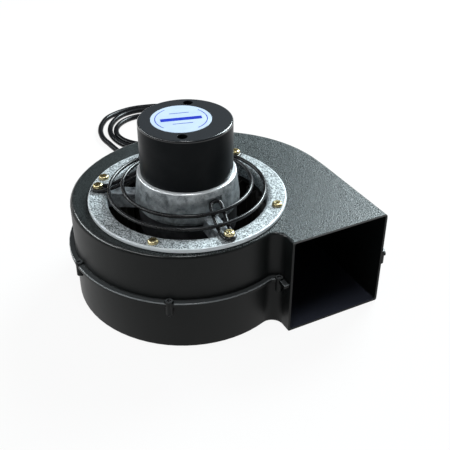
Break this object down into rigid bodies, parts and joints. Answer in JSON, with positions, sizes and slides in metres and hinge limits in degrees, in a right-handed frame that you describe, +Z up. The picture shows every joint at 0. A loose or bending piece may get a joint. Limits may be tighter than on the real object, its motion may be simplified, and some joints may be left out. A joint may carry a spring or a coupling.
{
  "type": "centrifugal fan",
  "caption": "Centrifugal fan with a black plastic volute housing, square side outlet, cast inlet ring and collar, wire guard, capped motor on top and a coiled mains lead.",
  "frame": {"origin": "on the motor axis, at the housing's bottom face", "axes": "+Z up along the motor axis, +X the way the air leaves the outlet, +Y across the outlet towards the long far wall"},
  "size_m": [0.4346, 0.2506, 0.1513],
  "materials": {
    "housing_plastic": "fine spark-eroded grain",
    "cast_aluminium": "as cast, mottled and scuffed",
    "cap_plastic": "satin",
    "guard_wire": "glossy black dip coat",
    "yellow_zinc": "yellow zinc plated",
    "bright_zinc": "bright zinc plated",
    "gasket_rubber": "matt",
    "lamination": "stacked sheet",
    "copper_winding": "varnished copper",
    "shield_metal": "black paint",
    "bronze": "sintered",
    "shaft_steel": "ground",
    "label_paper": "printed gloss film",
    "boot_rubber": "moulded",
    "lead_sheath": "soft gloss sheath",
    "core_sheath": "coloured core insulation",
    "tinned": "tinned",
    "wheel_plastic": "moulded"
  },
  "bodies": {
    "fan": {"lower_housing": "housing_plastic", "upper_housing": "housing_plastic", "seam_screws": "bright_zinc", "ring_gasket": "gasket_rubber", "bracket_ring": "cast_aluminium", "bracket_arms": "cast_aluminium", "motor_collar": "cast_aluminium", "ring_screws": "yellow_zinc", "guard_low_ring": "guard_wire", "guard_high_ring": "guard_wire", "guard_hairpins": "guard_wire", "guard_screws": "yellow_zinc", "stator_core": "lamination", "stator_winding": "copper_winding", "end_shield": "shield_metal", "lower_bush": "bronze", "upper_bridge": "cast_aluminium", "upper_bush": "bronze", "motor_cap": "cap_plastic", "motor_bolts": "bright_zinc", "cap_label": "label_paper", "cable_boot": "boot_rubber", "lead_run": "lead_sheath", "lead_coil": "lead_sheath", "lead_tail": "lead_sheath", "lead_cores": "core_sheath", "core_ferrules": "tinned"},
    "wheel": {"motor_shaft": "shaft_steel", "rotor_core": "lamination", "shaft_clip": "shaft_steel", "impeller_hub": "cast_aluminium", "hub_rivets": "bright_zinc", "hub_grub_screw": "shaft_steel", "wheel_plate": "wheel_plastic", "wheel_blades": "wheel_plastic", "wheel_rim": "wheel_plastic"}
  },
  "joints": [
    {"name": "wheel_spin", "type": "hinge", "parent": "fan", "child": "wheel", "pos_m": [0, 0, 0.068], "axis": [0, 0, -1], "continuous": true}
  ]
}
